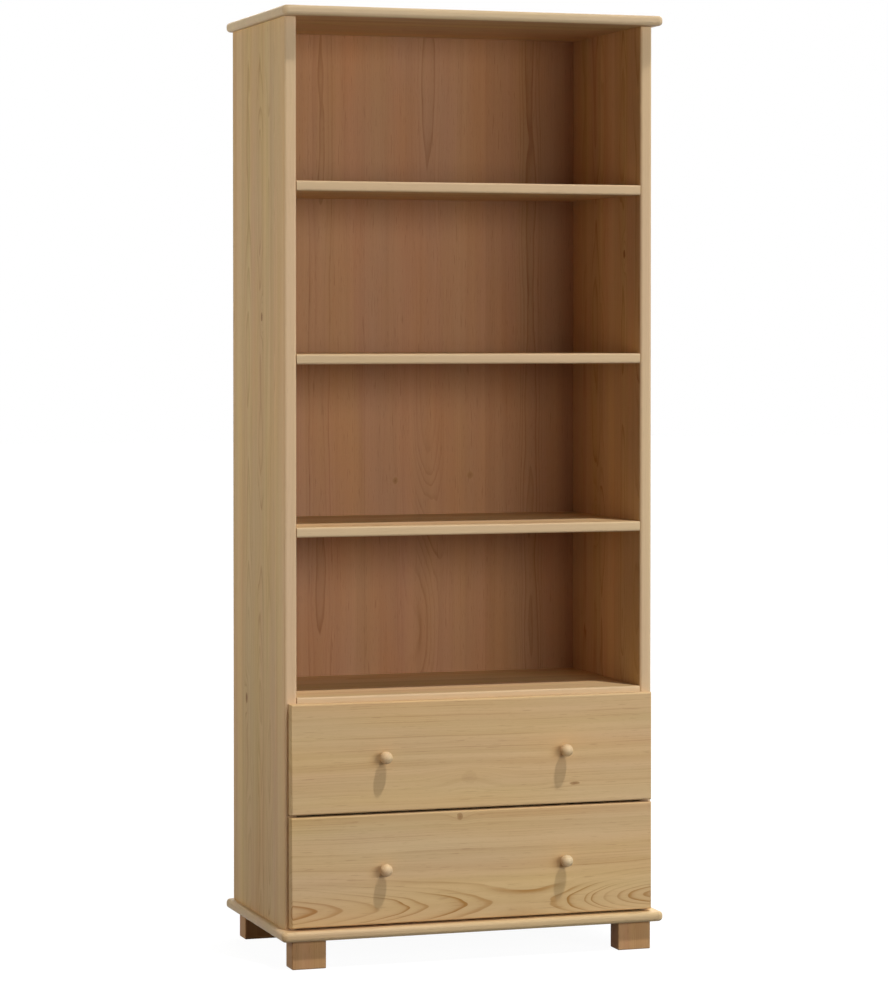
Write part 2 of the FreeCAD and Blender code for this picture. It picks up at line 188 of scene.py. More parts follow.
def pine_group():
    """Colour, roughness and relief of glued pine staves, from along, across and deep."""
    tree, wire, given, result = new_group("pine", "Shader", {
        "Board": "Vector", "Stave Width": "Float", "Seed": "Float", "Pith": "Vector",
        "Chance": "Float", "Ring Width": "Float", "Bend": "Float", "Contrast": "Float",
        "Early Wood": "Color", "Late Wood": "Color", "Variety": "Float"}, {
        "Color": "Color", "Roughness": "Float", "Height": "Float"})
    chance, width, seed = given["Chance"], given["Stave Width"], given["Seed"]
    contrast, late_wood, variety = given["Contrast"], given["Late Wood"], given["Variety"]

    along, across, deep = wire.parts(given["Board"])
    shifted = wire.scaled(seed, SEED_SHIFT, across)
    stave = wire.math("FLOOR", wire.over(shifted, width))
    from_middle = wire.minus(shifted, wire.times(wire.total(stave, 0.5), width))
    dice = wire.node("ShaderNodeTexWhiteNoise", {"Vector": wire.vector(stave, seed, 0.0)},
                     noise_dimensions="3D").outputs
    first, second, third = wire.node("ShaderNodeSeparateColor", {0: dice["Color"]}).outputs

    def grain(run, girth, detail=2.0):
        return wire.noise(wire.stretched((along, shifted, deep), (run, girth, girth)),
                          detail=detail)

    def wave(run, stave_step):
        return wire.noise(wire.vector(wire.times(along, run), wire.times(stave, stave_step),
                                      seed), detail=1.0)

    def from_ring_to_ring(scale, detail):
        return wire.noise(wire.times(reach, scale), detail=detail, dimensions="1D")

    # the pith: off to one side, some way under the face, wandering and leaning
    wander = wire.scaled(chance, 0.7, 0.3)
    aside, below, slope = wire.parts(given["Pith"])
    aside = wire.scaled(wire.times(chance, wire.swing(first, 1.2)), width, aside)
    below = wire.scaled(wire.times(chance, second), 0.10, below)
    slope = wire.scaled(chance, wire.swing(third, 0.03), slope)
    beside = wire.minus(wire.minus(from_middle, aside),
                        wire.times(wander, wire.swing(wave(1.7, 7.31), 0.03)))
    reach = wire.length(beside, wire.total(deep, below))
    reach = wire.total(reach, wire.times(along, slope), given["Bend"],
                       wire.times(wander, wire.swing(wave(2.6, 3.7), 0.024)),
                       wire.swing(grain(3.2, 24.0), 0.007))

    # rings of uneven width, each pale first and dark at its outer edge
    ring_place = wire.scaled(from_ring_to_ring(60.0, 2.0), 3.0,
                             wire.over(reach, given["Ring Width"]))
    phase = wire.math("FRACT", ring_place)
    shoulder = wire.total(wire.step(phase, 0.25, 0.90, 0.0, 0.4),
                          wire.step(phase, 0.64, 0.90, 0.0, 0.6))
    dark_edge = wire.times(shoulder, wire.step(phase, 1.0, 0.93))
    ring_dice = wire.node("ShaderNodeTexWhiteNoise", {"W": wire.math("FLOOR", ring_place)},
                          noise_dimensions="1D").outputs["Value"]
    patch = wire.step(grain(6.0, 45.0), 0.36, 0.64, 0.15, 1.0)
    near = wire.step(wire.math("ABSOLUTE", beside), 0.036, 0.017)
    patch = wire.math("MAXIMUM", patch, wire.times(near, 0.85))
    strength = wire.times(patch, wire.scaled(ring_dice, 0.75, 0.25),
                          wire.scaled(near, 0.75, 0.45))
    late = wire.times(dark_edge, strength, contrast)

    # slow bands of darker growth, broad streaks and fine fibres
    bands = wire.step(from_ring_to_ring(42.0, 3.0), 0.35, 0.72)
    streaks, fibres = grain(0.9, 55.0, 3.0), grain(14.0, 900.0)
    mixed = wire.total(late, wire.times(bands, wire.times(contrast, 0.22)),
                       wire.scaled(streaks, 0.45, -0.06), wire.swing(fibres, 0.16))
    colour = wire.blend(wire.math("MULTIPLY", mixed, 1.0, clamp=True), given["Early Wood"],
                        late_wood)

    # each stave has its own tone, with clouds of warmer and yellower stain over them
    cloud = grain(1.6, 9.0)
    tint = wire.noise(wire.stretched((deep, along, shifted), (16.0, 1.1, 16.0)), detail=3.0)
    tone = wire.times(wire.swing(dice["Value"], 1.0), variety)
    toned = wire.node("ShaderNodeHueSaturation", {
        "Hue": wire.total(0.502, wire.times(variety, wire.swing(tint, 0.35))),
        "Saturation": wire.total(1.0, wire.swing(cloud, 0.24)),
        "Value": wire.total(1.0, tone, wire.swing(cloud, 0.14)), "Color": colour})

    # short dark flecks, fine resin canals, and the hair line of each glue joint
    flecks = wire.step(grain(22.0, 330.0, 1.0), 0.66, 0.76, 0.0, 0.20)
    canals = wire.step(grain(45.0, 1400.0, 1.0), 0.66, 0.74, 0.0, 0.28)
    colour = wire.blend(wire.math("MAXIMUM", flecks, canals), toned.outputs[0], late_wood,
                        "MULTIPLY")
    joint = wire.times(width, 0.5)
    seam = wire.step(wire.math("ABSOLUTE", from_middle), wire.minus(joint, GLUE_LINE), joint,
                     0.0, 0.28)
    wire.fill(result, {
        "Color": wire.blend(seam, colour, late_wood, "MULTIPLY"),
        "Roughness": wire.total(0.46, wire.times(late, -0.07), wire.swing(fibres, 0.16)),
        "Height": wire.total(wire.times(late, 0.5), wire.times(fibres, 0.5),
                             wire.times(seam, -1.2), wire.times(canals, -1.0))})
    return tree


pine = pine_group()
print("pine group:", len(pine.nodes), "nodes")

# %% [markdown]
# ## Knots
#
# A knot is a branch cut across. The rings of the trunk part to let it through, so the group
# gives two things: a bend, added to the distance from the pith so that the figure flows
# round the knot, and a mask with the knot's own dark rings. With its strength at zero only
# the bend is left, which is how a board shows a branch that lies just under its face. A knot
# of negative size is a dip, which pulls the rings in instead of pushing them out.

# %% The knot group
def knot_group():
    """How far a knot bends the rings near it, how much of a point it covers, its colour."""
    tree, wire, given, result = new_group("knot", "Shader", {
        "Board": "Vector", "Centre": "Vector", "Size": "Float", "Stretch": "Float",
        "Strength": "Float", "Ring": "Color", "Heart": "Color"}, {
        "Bend": "Float", "Cover": "Float", "Color": "Color"})
    size = given["Size"]
    offset = wire.node("ShaderNodeVectorMath", {0: given["Board"], 1: given["Centre"]},
                       operation="SUBTRACT").outputs[0]
    along, across, _ = wire.parts(offset)
    along = wire.over(along, given["Stretch"])
    shake = wire.noise(given["Board"], scale=160.0, detail=1.0)
    share = wire.total(wire.over(wire.length(along, across), size), wire.swing(shake, 0.5))
    flow, aside = wire.over(wire.times(along, 0.5), size), wire.over(across, size)
    spread = wire.total(wire.times(flow, flow), wire.times(aside, aside))
    swell = wire.math("EXPONENT", wire.times(spread, -0.32))
    rings = wire.math("SINE", wire.times(share, 22.0))
    tone = wire.math("MULTIPLY_ADD", rings, 0.18, wire.step(share, 0.0, 0.9), clamp=True)
    wire.fill(result, {
        "Bend": wire.times(swell, wire.times(size, 1.2)),
        "Cover": wire.times(wire.step(share, 1.1, 0.75), given["Strength"]),
        "Color": wire.blend(tone, given["Heart"], given["Ring"])})
    return tree


knot = knot_group()
print("knot group:", len(knot.nodes), "nodes")

# %% [markdown]
# ## One finish for each board
#
# Every board has its own figure, so every board gets its own material: the same two groups,
# fed with the board's own directions and its own seed. The place is read from Object
# coordinates, which are the bookcase's own metres, and a Mapping node moves the zero to the
# middle of the board. The stain is kept matt, because a wiped stain leaves little gloss.

# %% Stains
HONEY = {"early": linear(217, 184, 138), "late": linear(170, 123, 73)}
PLAIN = {"early": linear(226, 203, 164), "late": linear(190, 148, 98)}
# browner stain: the drawer bottoms' own colour, and on the back panel painted shade inside the
# compartments
BROWN_AND_SHADE = {"early": linear(187, 139, 102), "late": linear(139, 91, 60)}
# painted shade: the feet's stain is darker to stand for the shade under the base board
FOOT_SHADE_STAIN = {"early": linear(194, 150, 109), "late": linear(146, 98, 61)}
RAW = {"early": linear(216, 186, 146), "late": linear(178, 138, 96)}
SANDED_EDGE = linear(218, 191, 157)
KNOT_RING, KNOT_HEART = linear(158, 118, 74), linear(128, 84, 50)
print("honey stain, early and late wood:", HONEY["early"][:3], HONEY["late"][:3])

# %% The board material
AXES = {"x": 0, "y": 1, "z": 2}
EDGE_BLUR, EDGE_SHARE = 0.002, 0.5


def principled(name):
    """A new material: its wiring and its surface shader."""
    material = bpy.data.materials.new(name)
    material.use_nodes = True
    return material, Wiring(material.node_tree), material.node_tree.nodes["Principled BSDF"]


def surface(wire, shader, colour, roughness, relief=None, strength=0.0, depth=0.0):
    """Wire a colour, a roughness and, where there is one, a relief into a shader."""
    wire.fill(shader.inputs, {"Base Color": colour, "Roughness": roughness})
    if relief is not None:
        bump = wire.node("ShaderNodeBump", {"Strength": strength, "Distance": depth,
                                            "Height": relief})
        wire.fill(shader.inputs, {"Normal": bump.outputs[0]})


def board_coordinates(wire, centre, directions):
    """Object coordinates about a centre, in the order along, across, deep."""
    moved = wire.node("ShaderNodeMapping", {"Vector": wire.place(),
                                            "Location": [-value for value in centre]})
    split = wire.parts(moved.outputs[0])
    return wire.vector(*(split[AXES[axis]] for axis in directions))


def board_finish(name, centre, directions, seed, stain=HONEY, stave=0.085, contrast=0.8,
                 variety=0.16, knots=(), gloss=0.02, pith=(0.0, 0.035, 0.0), chance=1.0,
                 ring=0.0029, front=None, ends=None, edge=SANDED_EDGE, rim=0.003):
    """The finish of one board: directions are its axes along, across and deep.

    Each knot is its place along and across, its size, its stretch and its strength. Within
    a rim of its front, and of its ends where they are given, the board takes half of the
    edge colour."""
    material, wire, shader = principled(name)
    board = board_coordinates(wire, centre, directions)
    made_knots = [wire.node("ShaderNodeGroup", {
        "Board": board, "Centre": (along, across, 0.0), "Size": size, "Stretch": stretch,
        "Strength": strength, "Ring": KNOT_RING, "Heart": KNOT_HEART}, node_tree=knot).outputs
        for along, across, size, stretch, strength in knots]
    wood = wire.node("ShaderNodeGroup", {
        "Board": board, "Stave Width": stave, "Seed": seed, "Pith": pith, "Chance": chance,
        "Ring Width": ring, "Bend": wire.total(0.0, *(made["Bend"] for made in made_knots)),
        "Contrast": contrast, "Early Wood": stain["early"], "Late Wood": stain["late"],
        "Variety": variety}, node_tree=pine).outputs
    colour = wood["Color"]
    for made in made_knots:
        colour = wire.blend(made["Cover"], colour, made["Color"])
    # the edge colour is a paler sanded tone on most boards and a painted highlight on the nosed
    # boards
    if front is not None:
        along, across, _ = wire.parts(board)
        start = front + rim
        share = wire.step(across, start + EDGE_BLUR, start - EDGE_BLUR, 0.0, EDGE_SHARE)
        if ends is not None:
            start = ends - rim
            share = wire.math("MAXIMUM", share, wire.step(
                wire.math("ABSOLUTE", along), start - EDGE_BLUR, start + EDGE_BLUR, 0.0,
                EDGE_SHARE))
        colour = wire.blend(share, colour, edge)
    surface(wire, shader, colour, wood["Roughness"], wood["Height"], 0.35, 0.0004)
    shader.inputs["Specular IOR Level"].default_value = gloss
    return material


print("a sanded rim takes", EDGE_SHARE, "of its colour, blurred over", 2 * EDGE_BLUR, "m")

# %% [markdown]
# ## Boards with softened edges
#
# A sawn board has dead sharp edges, and a joiner takes them off: a full nose on the top and
# base boards, a round on the shelves' front edges, a light pass with sandpaper elsewhere.
# Light catches on those edges first, so they are real geometry here. Each board is an
# outline pushed to a length, with a bevel on chosen edges. The flats are kept flat by
# weighting each corner's normal by the area of its faces.

# %% Outlines pushed to a length
def rectangle(low, high, plane):
    a, b = AXES[plane[0]], AXES[plane[1]]
    return [(low[a], low[b]), (high[a], low[b]), (high[a], high[b]), (low[a], high[b])]


def pushed(outline, plane, low, high):
    """A closed outline in a plane, such as "xy", pushed from low to high across it."""
    third = AXES[({"x", "y", "z"} - set(plane)).pop()]
    shape = bmesh.new()
    ends = []
    for level in (low[third], high[third]):
        corners = []
        for pair in outline:
            place = Vector()
            place[AXES[plane[0]]], place[AXES[plane[1]]] = pair
            place[third] = level
            corners.append(shape.verts.new(place))
        ends.append(corners)
        shape.faces.new(corners)
    for i in range(len(outline)):
        j = (i + 1) % len(outline)
        shape.faces.new((ends[0][i], ends[0][j], ends[1][j], ends[1][i]))
    bmesh.ops.recalc_face_normals(shape, faces=shape.faces)
    return shape


def block(low, high, plane):
    return pushed(rectangle(low, high, plane), plane, low, high)


print("a unit square:", rectangle((0, 0, 0), (1, 1, 1), "xy"))

# %% Edges, chosen and rounded
SANDED = 0.0008
SHARP = math.radians(50)
TOUCHING = 0.001


def along_axis(edge, axis):
    """True for an edge that lies along an axis."""
    way = (edge.verts[1].co - edge.verts[0].co).normalized()
    return abs(way[AXES[axis]]) > 0.999


def at(edge, axis, level):
    """True for an edge whose middle lies at a level of an axis."""
    middle = (edge.verts[0].co + edge.verts[1].co) / 2
    return abs(middle[AXES[axis]] - level) < TOUCHING


def soften(shape, wanted, radius, segments):
    """Round the edges for which wanted(edge) is true."""
    edges = [edge for edge in shape.edges if wanted(edge)]
    bmesh.ops.bevel(shape, geom=edges, offset=radius, offset_type="OFFSET", segments=segments,
                    profile=0.5, affect="EDGES", clamp_overlap=True)


def sand(shape):
    """Take off every edge that is still sharp."""
    soften(shape, lambda edge: edge.calc_face_angle(0.0) > SHARP, SANDED, segments=2)


print("edges over", round(math.degrees(SHARP)), "degrees are sanded by", SANDED, "m")

# %% From a shape to a piece
def steady_normals(mesh):
    """Smooth rounds beside flat faces, with sharp edges kept.

    Each corner of a face takes the normals of the faces round it that turn less than
    SHARP from its own, weighted by their areas, so a flat face stays flat."""
    mesh.shade_smooth()
    around = [[] for _ in mesh.vertices]
    for face in mesh.polygons:
        for corner in face.vertices:
            around[corner].append(face)
    limit = math.cos(SHARP)
    normals = []
    for face in mesh.polygons:
        for corner in face.vertices:
            total = Vector()
            for other in around[corner]:
                if face.normal.dot(other.normal) > limit:
                    total += other.normal * other.area
            normals.append(total.normalized())
    mesh.normals_split_custom_set(normals)


def centre_of(node):
    low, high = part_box(node)
    return (low + high) / 2


def add_object(name, data):
    made = bpy.data.objects.new(name, data)
    bpy.context.scene.collection.objects.link(made)
    return made


def stand_for(piece, body, slot, *replaced):
    """Let a piece ride on its body in place of its nodes."""
    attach(piece, body)
    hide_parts(*replaced)


def board_piece(node, shape, label, directions, seed, made="planed", body="root",
                slot="stained_pine", **looks):
    """Turn a shape into a piece that has its own finish and stands for its node."""
    material = board_finish(f"pine {label}", centre_of(node), directions, seed, **looks)
    name = f"{node}_{made}"
    mesh = bpy.data.meshes.new(name)
    shape.to_mesh(mesh)
    shape.free()
    steady_normals(mesh)
    mesh.materials.append(material)
    print(name, len(mesh.polygons), "faces")
    stand_for(add_object(name, mesh), body, slot, node)


print("the middle of the top board:", [round(value, 4) for value in centre_of("top_board")])

# %% [markdown]
# ## Top and base boards
#
# The two boards share one shape: rounded front corners, and a nose on the front and both
# ends. The back edge stays square against the wall. These boards get a paler rim, palest on
# the top board, which is a painted highlight along the rounded nose, and a little more gloss.

# %% Nosed boards
CORNER_RADIUS, NOSE_RADIUS, NOSE_HIGHLIGHT_RIM = 0.012, 0.008, 0.010
# painted highlight: the noses' pale rim colours stand in for the lamps' highlight along the
# rounded noses, palest on the top board
TOP_NOSE_HIGHLIGHT, BASE_NOSE_HIGHLIGHT = linear(207, 187, 153), linear(193, 168, 131)


def nosed_board(node, seed, nose_highlight):
    low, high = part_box(node)
    shape = block(low, high, "xy")
    soften(shape, lambda edge: along_axis(edge, "z") and at(edge, "y", low.y),
           CORNER_RADIUS, segments=10)
    soften(shape, lambda edge: not along_axis(edge, "z") and not at(edge, "y", high.y),
           NOSE_RADIUS, segments=8)
    sand(shape)
    reach = high - centre_of(node)
    # the nose rim takes the painted highlight colour
    board_piece(node, shape, node, "xyz", seed, contrast=0.5, gloss=0.12, front=-reach.y,
                ends=reach.x, edge=nose_highlight, rim=NOSE_HIGHLIGHT_RIM)


nosed_board("top_board", 3.0, TOP_NOSE_HIGHLIGHT)
nosed_board("base_board", 8.0, BASE_NOSE_HIGHLIGHT)

# %% [markdown]
# ## Side panels
#
# Each side is a wide panel of glued staves, with all its long edges rounded and a rebate
# for the back panel along its inner rear edge.

# %% Rebated side panels
SIDE_ARRIS = 0.006
REBATE = 0.010


def side_panel(side, sign, seed, knots):
    node = f"{side}_side_panel"
    low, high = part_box(node)
    outer, inner = (low.x, high.x) if sign < 0 else (high.x, low.x)
    step = inner + sign * REBATE
    outline = [(outer, low.y), (inner, low.y), (inner, high.y - REBATE),
               (step, high.y - REBATE), (step, high.y), (outer, high.y)]
    shape = pushed(outline, "xy", low, high)
    soften(shape, lambda edge: along_axis(edge, "z") and (
        at(edge, "y", low.y) or at(edge, "x", outer)), SIDE_ARRIS, segments=7)
    board_piece(node, shape, f"{side} side", "zyx", seed, stave=0.082, contrast=0.45,
                knots=knots, front=low.y - centre_of(node).y)


side_panel("left", -1, 21.0, ((0.31, -0.03, 0.007, 1.4, 0.8), (-0.47, 0.09, 0.008, 1.4, 0.8)))
side_panel("right", 1, 34.0, ((-0.12, 0.05, 0.008, 1.4, 0.8), (0.44, -0.11, 0.006, 1.6, 0.8)))

# %% [markdown]
# ## Shelves
#
# Three shelves and the board over the drawers share one shape: a plain board between the
# sides, with its front edges eased. A loop makes the four, each with its own figure.

# %% Shelf boards
SHELF_ARRIS = 0.004


def shelf_board(node, seed):
    low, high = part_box(node)
    shape = block(low, high, "yz")
    soften(shape, lambda edge: along_axis(edge, "x") and at(edge, "y", low.y),
           SHELF_ARRIS, segments=5)
    board_piece(node, shape, node, "xyz", seed, contrast=0.5,
                front=low.y - centre_of(node).y)


for seed, node in enumerate(("drawer_bay_board", "shelf_lower", "shelf_middle",
                             "shelf_upper"), 40):
    shelf_board(node, float(seed))

# %% [markdown]
# ## Back panel
#
# The back is a thin veneered panel with its grain upright. Its stain is browner and darker
# than the boards', which paints the shade inside the compartments. Veneer is laid in wide
# leaves, so the staves are wide too, and the pith of each stays near the middle of its leaf,
# which puts the arches there. The panel is built with half a millimetre of play above and
# below. The pale studio would show through it as a bright hair line under the top board, so
# here the panel reaches both boards.

# %% Veneered back
LEAF, LEAF_SHIFT = 0.27, 0.03
BACK_PLAY = 0.0005
BACK_KNOTS = ((-0.034, -0.037, 0.006, 1.2, 0.6), (-0.024, 0.13, 0.007, 1.2, 0.45),
              (-0.337, 0.025, 0.022, 3.4, 0.0))


def back_board(node):
    low, high = (Vector(corner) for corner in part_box(node))
    low.z -= BACK_PLAY
    high.z += BACK_PLAY
    # the browner, darker stain paints the shade inside the compartments
    board_piece(node, block(low, high, "xz"), "back panel", "zxy",
                (LEAF / 2 - LEAF_SHIFT) / SEED_SHIFT, "veneered", slot="back_veneer",
                stain=BROWN_AND_SHADE, stave=LEAF, contrast=0.42, variety=0.06, chance=0.25,
                knots=BACK_KNOTS)


back_board("back_panel")

# %% [markdown]
# ## Feet
#
# Four blocks with every edge but the top ones taken off, their grain upright. Their stain is
# darker than the boards': painted shade from the base board that overhangs them.

# %% Block feet
FOOT_ARRIS = 0.0025


def foot_block(node, seed):
    low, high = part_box(node)
    shape = block(low, high, "xy")
    soften(shape, lambda edge: not at(edge, "z", high.z), FOOT_ARRIS, segments=4)
    # the darker stain paints the shade under the base board
    board_piece(node, shape, node, "zxy", seed, stain=FOOT_SHADE_STAIN, stave=0.2, contrast=0.5)


for seed, node in enumerate(("foot_front_left", "foot_front_right", "foot_rear_left",
                             "foot_rear_right"), 60):
    foot_block(node, float(seed))

# %% [markdown]
# ## Drawers
#
# Each drawer is a plain box with a separate front that covers its opening and a little of
# the sides. The front's face edges are rounded; the box is only sanded. The fronts are the
# boards that everyone looks at, so each is one wide stave with its pith given here: low
# on the lower front, where it draws a band of arches that a dip opens at the right end, and
# far to the side and deep on the upper one.

# %% Drawer fronts
LEVELS = ("upper", "lower")
FRONT_ARRIS, FRONT_STAVE = 0.004, 0.6
FRONT_FIGURE = {
    "upper": {"pith": (0.16, 0.05, 0.004), "ring": 0.0042, "knots": (
        (0.214, -0.069, 0.0035, 3.2, 0.7), (-0.011, -0.048, 0.014, 1.3, 0.12))},
    "lower": {"pith": (-0.079, 0.042, 0.0), "ring": 0.0048, "knots": (
        (-0.031, 0.098, 0.008, 0.8, 0.6), (0.13, -0.079, 0.036, 3.4, 0.0),
        (0.37, -0.079, -0.02, 2.0, 0.0))}}


def drawer_front(level, seed):
    node = f"{level}_drawer_front"
    low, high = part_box(node)
    shape = block(low, high, "xz")
    soften(shape, lambda edge: not along_axis(edge, "y") and at(edge, "y", low.y),
           FRONT_ARRIS, segments=5)
    sand(shape)
    board_piece(node, shape, f"{level} front", "xzy", seed, body=f"{level}_drawer",
                stave=FRONT_STAVE, variety=0.08, chance=0.0, **FRONT_FIGURE[level])


print("each front is one stave of", FRONT_STAVE, "m")

# %% Drawer boxes
def box_board(level, part, directions, seed):
    node = f"{level}_drawer_{part}"
    shape = block(*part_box(node), "xz")
    sand(shape)
    board_piece(node, shape, f"{level} {part}", directions, seed, "sanded",
                f"{level}_drawer", "plain_pine", stain=PLAIN, stave=0.2)


def dress(node, material):
    """Give a node that keeps its own shape its finish."""
    mesh = nodes[node].data
    mesh.materials.clear()
    mesh.materials.append(material)


BOX_PARTS = {"inner_front": "xzy", "back": "xzy", "left_side": "yzx", "right_side": "yzx"}
FIRST_SEED = FRONT_STAVE / 2 / SEED_SHIFT   # puts the middle of a stave at the board's middle
for level, seed in zip(LEVELS, (FIRST_SEED, FIRST_SEED + FRONT_STAVE / SEED_SHIFT)):
    drawer_front(level, seed)
    for number, (part, directions) in enumerate(BOX_PARTS.items(), 1):
        box_board(level, part, directions, seed + number)
    bottom = f"{level}_drawer_bottom"
    dress(bottom, board_finish(f"{level} bottom", centre_of(bottom), "xyz", seed + 9,
                               stain=BROWN_AND_SHADE, stave=0.4, contrast=0.3))

# %% [markdown]
# ## Turning a piece and setting it out
#
# Knobs and rollers are turned, and so are the shanks and heads of screws and nails: one
# profile, swept about its own axis. The same few pieces repeat in rows. Geometry Nodes do
# both. One tree bends a grid round a profile, and a second puts that piece at each given
# point, with its axis along the point's own direction and a random turn about it, as
# fasteners really sit. An optional cross is cut into the head by a boolean.

# %% The turning tree
WELD = 1e-6


def turning_tree():
    """A profile of (radius, 0, height) points, turned about z in a number of segments."""
    tree, wire, given, result = new_group("turn a profile", "Geometry", {
        "Profile": "Geometry", "Segments": "Int"}, {"Turned": "Geometry"})
    profile, segments = given["Profile"], given["Segments"]
    rows = wire.node("GeometryNodeAttributeDomainSize", {0: profile}).outputs[0]
    sheet = wire.node("GeometryNodeMeshGrid", {"Vertices X": wire.total(segments, 1.0),
                                               "Vertices Y": rows})
    index = wire.node("GeometryNodeInputIndex").outputs[0]
    column = wire.math("FLOOR", wire.over(wire.total(index, 0.5), rows))
    point = wire.node("GeometryNodeSampleIndex", {
        "Geometry": profile, "Index": wire.minus(index, wire.times(column, rows)),
        "Value": wire.node("GeometryNodeInputPosition").outputs[0]}, data_type="FLOAT_VECTOR")
    turned = wire.node("ShaderNodeVectorRotate", {
        "Vector": point.outputs[0],
        "Angle": wire.times(wire.over(column, segments), math.tau)}, rotation_type="Z_AXIS")
    bent = wire.node("GeometryNodeSetPosition", {"Geometry": sheet.outputs["Mesh"],
                                                 "Position": turned.outputs[0]})
    closed = wire.node("GeometryNodeMergeByDistance", {"Geometry": bent.outputs[0],
                                                       "Distance": WELD})
    wire.fill(result, {"Turned": closed.outputs[0]})
    return tree


turning = turning_tree()
print("turning tree:", len(turning.nodes), "nodes")

# %% The setting-out tree
BAR_SHARE = 0.26                    # the thickness of a driver's cross, as a share of its length
FLOAT_HIGH, FLOAT_VALUE = 3, 1      # the float sockets of a Random Value node


def setting_tree():
    """A turned piece at each point of the mesh, along the point's own direction."""
    tree, wire, given, result = new_group("set out turned pieces", "Geometry", {
        "Places": "Geometry", "Profile": "Object", "Segments": "Int",
        "Cross Length": "Float", "Cross Depth": "Float", "Seed": "Int",
        "Finish": "Material"}, {"Geometry": "Geometry"})
    profile = wire.node("GeometryNodeObjectInfo", {"Object": given["Profile"]})
    turned = wire.node("GeometryNodeGroup", {
        "Profile": profile.outputs["Geometry"], "Segments": given["Segments"]},
        node_tree=turning).outputs[0]

    # a cross of two bars, sunk into the head, whose top lies at height zero
    length, depth = given["Cross Length"], given["Cross Depth"]
    thin = wire.times(length, BAR_SHARE)
    cut = turned
    for size in ((length, thin, depth), (thin, length, depth)):
        bar = wire.node("GeometryNodeMeshCube", {"Size": wire.vector(*size)})
        cut = wire.node("GeometryNodeMeshBoolean", {
            "Mesh 1": cut, "Mesh 2": bar.outputs["Mesh"]},
            operation="DIFFERENCE").outputs["Mesh"]
    crossed = wire.node("FunctionNodeCompare", {"A": depth, "B": 0.0}, data_type="FLOAT",
                        operation="GREATER_THAN")
    choice = wire.node("GeometryNodeSwitch", {"Switch": crossed.outputs[0], "False": turned,
                                              "True": cut}, input_type="GEOMETRY")

    outward = wire.node("GeometryNodeInputNamedAttribute", {"Name": "outward"},
                        data_type="FLOAT_VECTOR")
    aligned = wire.node("FunctionNodeAlignRotationToVector", {"Vector": outward.outputs[0]},
                        axis="Z")
    standing = wire.node("GeometryNodeInstanceOnPoints", {
        "Points": given["Places"], "Instance": choice.outputs[0],
        "Rotation": aligned.outputs[0]})
    turn = wire.node("FunctionNodeRandomValue", {
        "Seed": given["Seed"], FLOAT_HIGH: math.tau}, data_type="FLOAT")
    spun = wire.node("GeometryNodeRotateInstances", {
        "Instances": standing.outputs[0],
        "Rotation": wire.vector(0.0, 0.0, turn.outputs[FLOAT_VALUE])})
    real = wire.node("GeometryNodeRealizeInstances", {"Geometry": spun.outputs[0]})
    finished = wire.node("GeometryNodeSetMaterial", {"Geometry": real.outputs[0],
                                                     "Material": given["Finish"]})
    wire.fill(result, {"Geometry": finished.outputs[0]})
    return tree


setting = setting_tree()
print("setting-out tree:", len(setting.nodes), "nodes")

# %% [markdown]
# A modifier is given its inputs by each socket's identifier, before the first evaluation.
# The evaluated object is then read back as a plain mesh, and the modifier and its two
# helper objects go.

# %% A helper that runs the tree
CREASE = math.radians(35)


def helper_object(name, points):
    mesh = bpy.data.meshes.new(name)
    mesh.from_pydata(points, [], [])
    return add_object(name, mesh)


def set_out(name, places, profile, finish, segments, cross=(0.0, 0.0), seed=1):
    """Turn a profile of (radius, height) pairs and set it at each (point, outward)."""
    points = helper_object(f"{name} places", [place for place, _ in places])
    outward = points.data.attributes.new("outward", "FLOAT_VECTOR", "POINT")
    outward.data.foreach_set("vector", [value for _, way in places for value in way])
    outline = helper_object(f"{name} profile", [(radius, 0.0, rise) for radius, rise in profile])
    modifier = points.modifiers.new("set out", "NODES")
    modifier.node_group = setting
    values = {"Profile": outline, "Segments": segments, "Cross Length": cross[0],
              "Cross Depth": cross[1], "Seed": seed, "Finish": finish}
    for socket in setting.interface.items_tree:
        if socket.in_out == "INPUT" and socket.name in values:
            modifier[socket.identifier] = values[socket.name]
    seen = points.evaluated_get(bpy.context.evaluated_depsgraph_get())
    mesh = bpy.data.meshes.new_from_object(seen)
    points.modifiers.clear()
    for helper in (points, outline):
        bpy.data.objects.remove(helper)

    shape = bmesh.new()
    shape.from_mesh(mesh)
    bmesh.ops.recalc_face_normals(shape, faces=shape.faces)
    shape.to_mesh(mesh)
    shape.free()
    mesh.shade_smooth()
    mesh.set_sharp_from_angle(angle=CREASE)
    mesh.name = name
    print(name, "at", len(places), "places,", len(mesh.polygons), "faces")
    return add_object(name, mesh)


print("edges over", round(math.degrees(CREASE)), "degrees stay sharp on turned pieces")

# %% [markdown]
# ## Knobs
#
# A knob is turned from one blank: a slightly waisted neck that swells into a ball. The arcs
# meet where a gouge would leave them. The grain runs along the neck, so the ball shows end
# grain on its crown.

# %% Turned knobs
KNOB_FOOT, KNOB_WAIST, KNOB_COLLAR, KNOB_BALL = 0.0075, 0.006, 0.00675, 0.0125
KNOB_NECK, KNOB_RISE = 0.008, 0.030
NECK_STEPS, SWELL_STEPS, BALL_STEPS = 8, 8, 14
TURNED_SEGMENTS = 48


